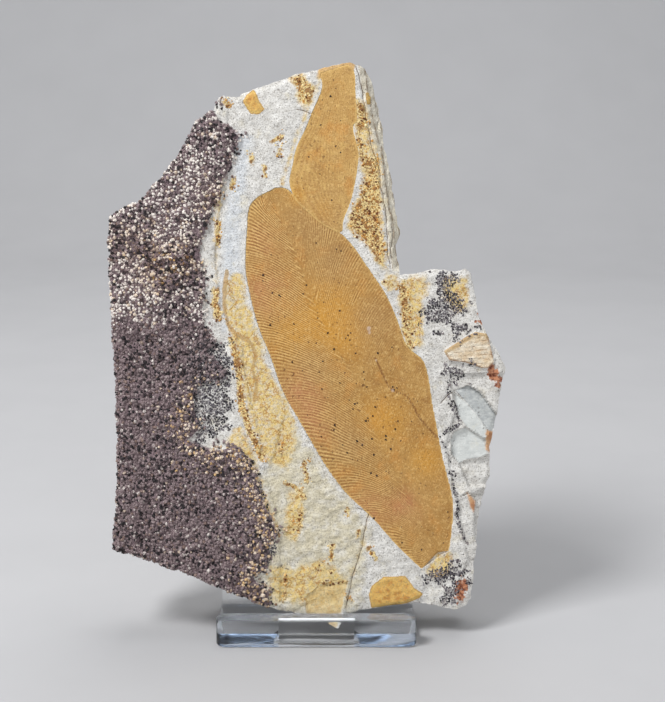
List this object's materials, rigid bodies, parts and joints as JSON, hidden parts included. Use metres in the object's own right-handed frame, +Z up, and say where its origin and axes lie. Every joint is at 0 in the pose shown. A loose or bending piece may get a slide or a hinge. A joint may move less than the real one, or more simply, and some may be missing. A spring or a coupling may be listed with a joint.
{
  "type": "fossil glossopteris leaf",
  "caption": "Broken plate of pale rock with a veined fossil leaf on its face and a coarse dark layer at one side, leaning in a small clear plastic stand.",
  "frame": {"origin": "on the table, under the middle of the object's box", "axes": "+X to the viewer's right, +Y away from the viewer, +Z up; the fossil's face looks to -Y and a little up"},
  "size_m": [0.1196, 0.072, 0.1671],
  "materials": {
    "rock": "matte",
    "clear_plastic": "gloss"
  },
  "bodies": {
    "root": {"fossil_slab": "rock", "display_stand": "clear_plastic"}
  },
  "joints": []
}
